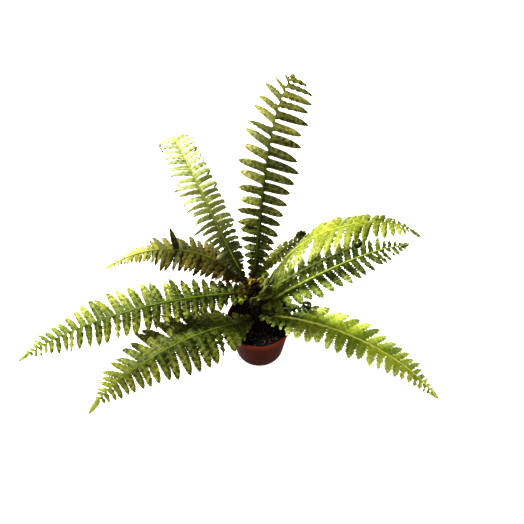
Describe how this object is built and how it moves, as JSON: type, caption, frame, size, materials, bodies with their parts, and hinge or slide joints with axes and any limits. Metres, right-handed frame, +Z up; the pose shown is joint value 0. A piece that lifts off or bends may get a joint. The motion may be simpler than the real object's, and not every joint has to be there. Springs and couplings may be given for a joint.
{
  "type": "potted fern",
  "caption": "Young tree fern with cut-leaved arching fronds and coiled young tips on a short scaly trunk, growing in a round tapered nursery pot.",
  "frame": {"origin": "centre of the pot's underside", "axes": "+Z up along the pot's axis, +X to the right of the front view along the plant's widest spread, -Y towards the front"},
  "size_m": [0.7453, 0.4902, 0.4109],
  "materials": {
    "pot": "satin brick-red plastic, darker on the body than on the lip",
    "potting_mix": "moist black-brown peat and bark with a few pale bits",
    "trunk": "dark and rough, with golden-brown scales at the crown",
    "leaf_dark": "living leaf, dark green with a soft sheen",
    "leaf_green": "living leaf, mid green with a soft sheen",
    "leaf_yellow": "young living leaf, yellow-green with a soft sheen",
    "leaf_olive": "living leaf turning, olive with ochre at the foot"
  },
  "bodies": {
    "root": {"pot": "pot", "potting_mix": "potting_mix", "trunk": "trunk", "frond_back": "leaf_dark", "frond_back_left": "leaf_yellow", "frond_left_high": "leaf_olive", "frond_left": "leaf_green", "frond_front_left": "leaf_green", "frond_front_right": "leaf_green", "frond_right": "leaf_dark", "frond_right_high": "leaf_yellow", "crozier_back": "leaf_olive", "crozier_right": "leaf_dark", "crozier_front": "leaf_dark"}
  },
  "joints": []
}
